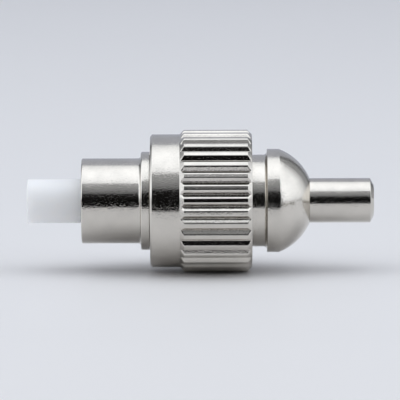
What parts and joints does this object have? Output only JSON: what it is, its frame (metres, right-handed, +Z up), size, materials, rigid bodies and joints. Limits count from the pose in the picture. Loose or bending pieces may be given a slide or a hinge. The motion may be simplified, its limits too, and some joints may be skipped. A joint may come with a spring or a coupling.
{
  "type": "fibre ferrule adapter",
  "caption": "Screw-on ferrule adapter: a white ferrule in a metal plug with a knurled union nut, a domed rear body and a slim socket tube.",
  "frame": {"origin": "centre of the ferrule's polished end face", "axes": "+X along the axis from the ferrule to the socket tube, +Z up as the adapter lies on two lands of its knurled nut"},
  "size_m": [0.0198, 0.008, 0.008],
  "materials": {
    "nickel_plate": "turned brass with bright nickel plating",
    "ceramic": "ground zirconia, milky white",
    "glass_fibre": "polished flush",
    "spring_steel": "drawn stainless wire and pins"
  },
  "bodies": {
    "housing": {"plug_body": "nickel_plate", "rear_body": "nickel_plate", "rear_tube": "nickel_plate", "split_sleeve": "ceramic", "spring_bush": "nickel_plate", "guide_pin": "spring_steel", "ferrule_spring": "spring_steel"},
    "ferrule_assembly": {"ferrule": "ceramic", "stub_ferrule": "ceramic", "fibre": "glass_fibre", "ferrule_holder": "nickel_plate"},
    "washer": {"thrust_washer": "spring_steel"},
    "nut": {"knurled_nut": "nickel_plate"}
  },
  "joints": [
    {"name": "ferrule_slide", "type": "slide", "parent": "housing", "child": "ferrule_assembly", "axis": [1, 0, 0], "range_m": [0, 0.0007], "stiffness_N_per_m": 500, "deforming": ["ferrule_spring"]},
    {"name": "nut_slide", "type": "slide", "parent": "housing", "child": "washer", "axis": [1, 0, 0], "range_m": [-0.0046, 0.0008]},
    {"name": "nut_spin", "type": "hinge", "parent": "washer", "child": "nut", "pos_m": [0.01, 0, 0], "axis": [1, 0, 0], "continuous": true}
  ]
}
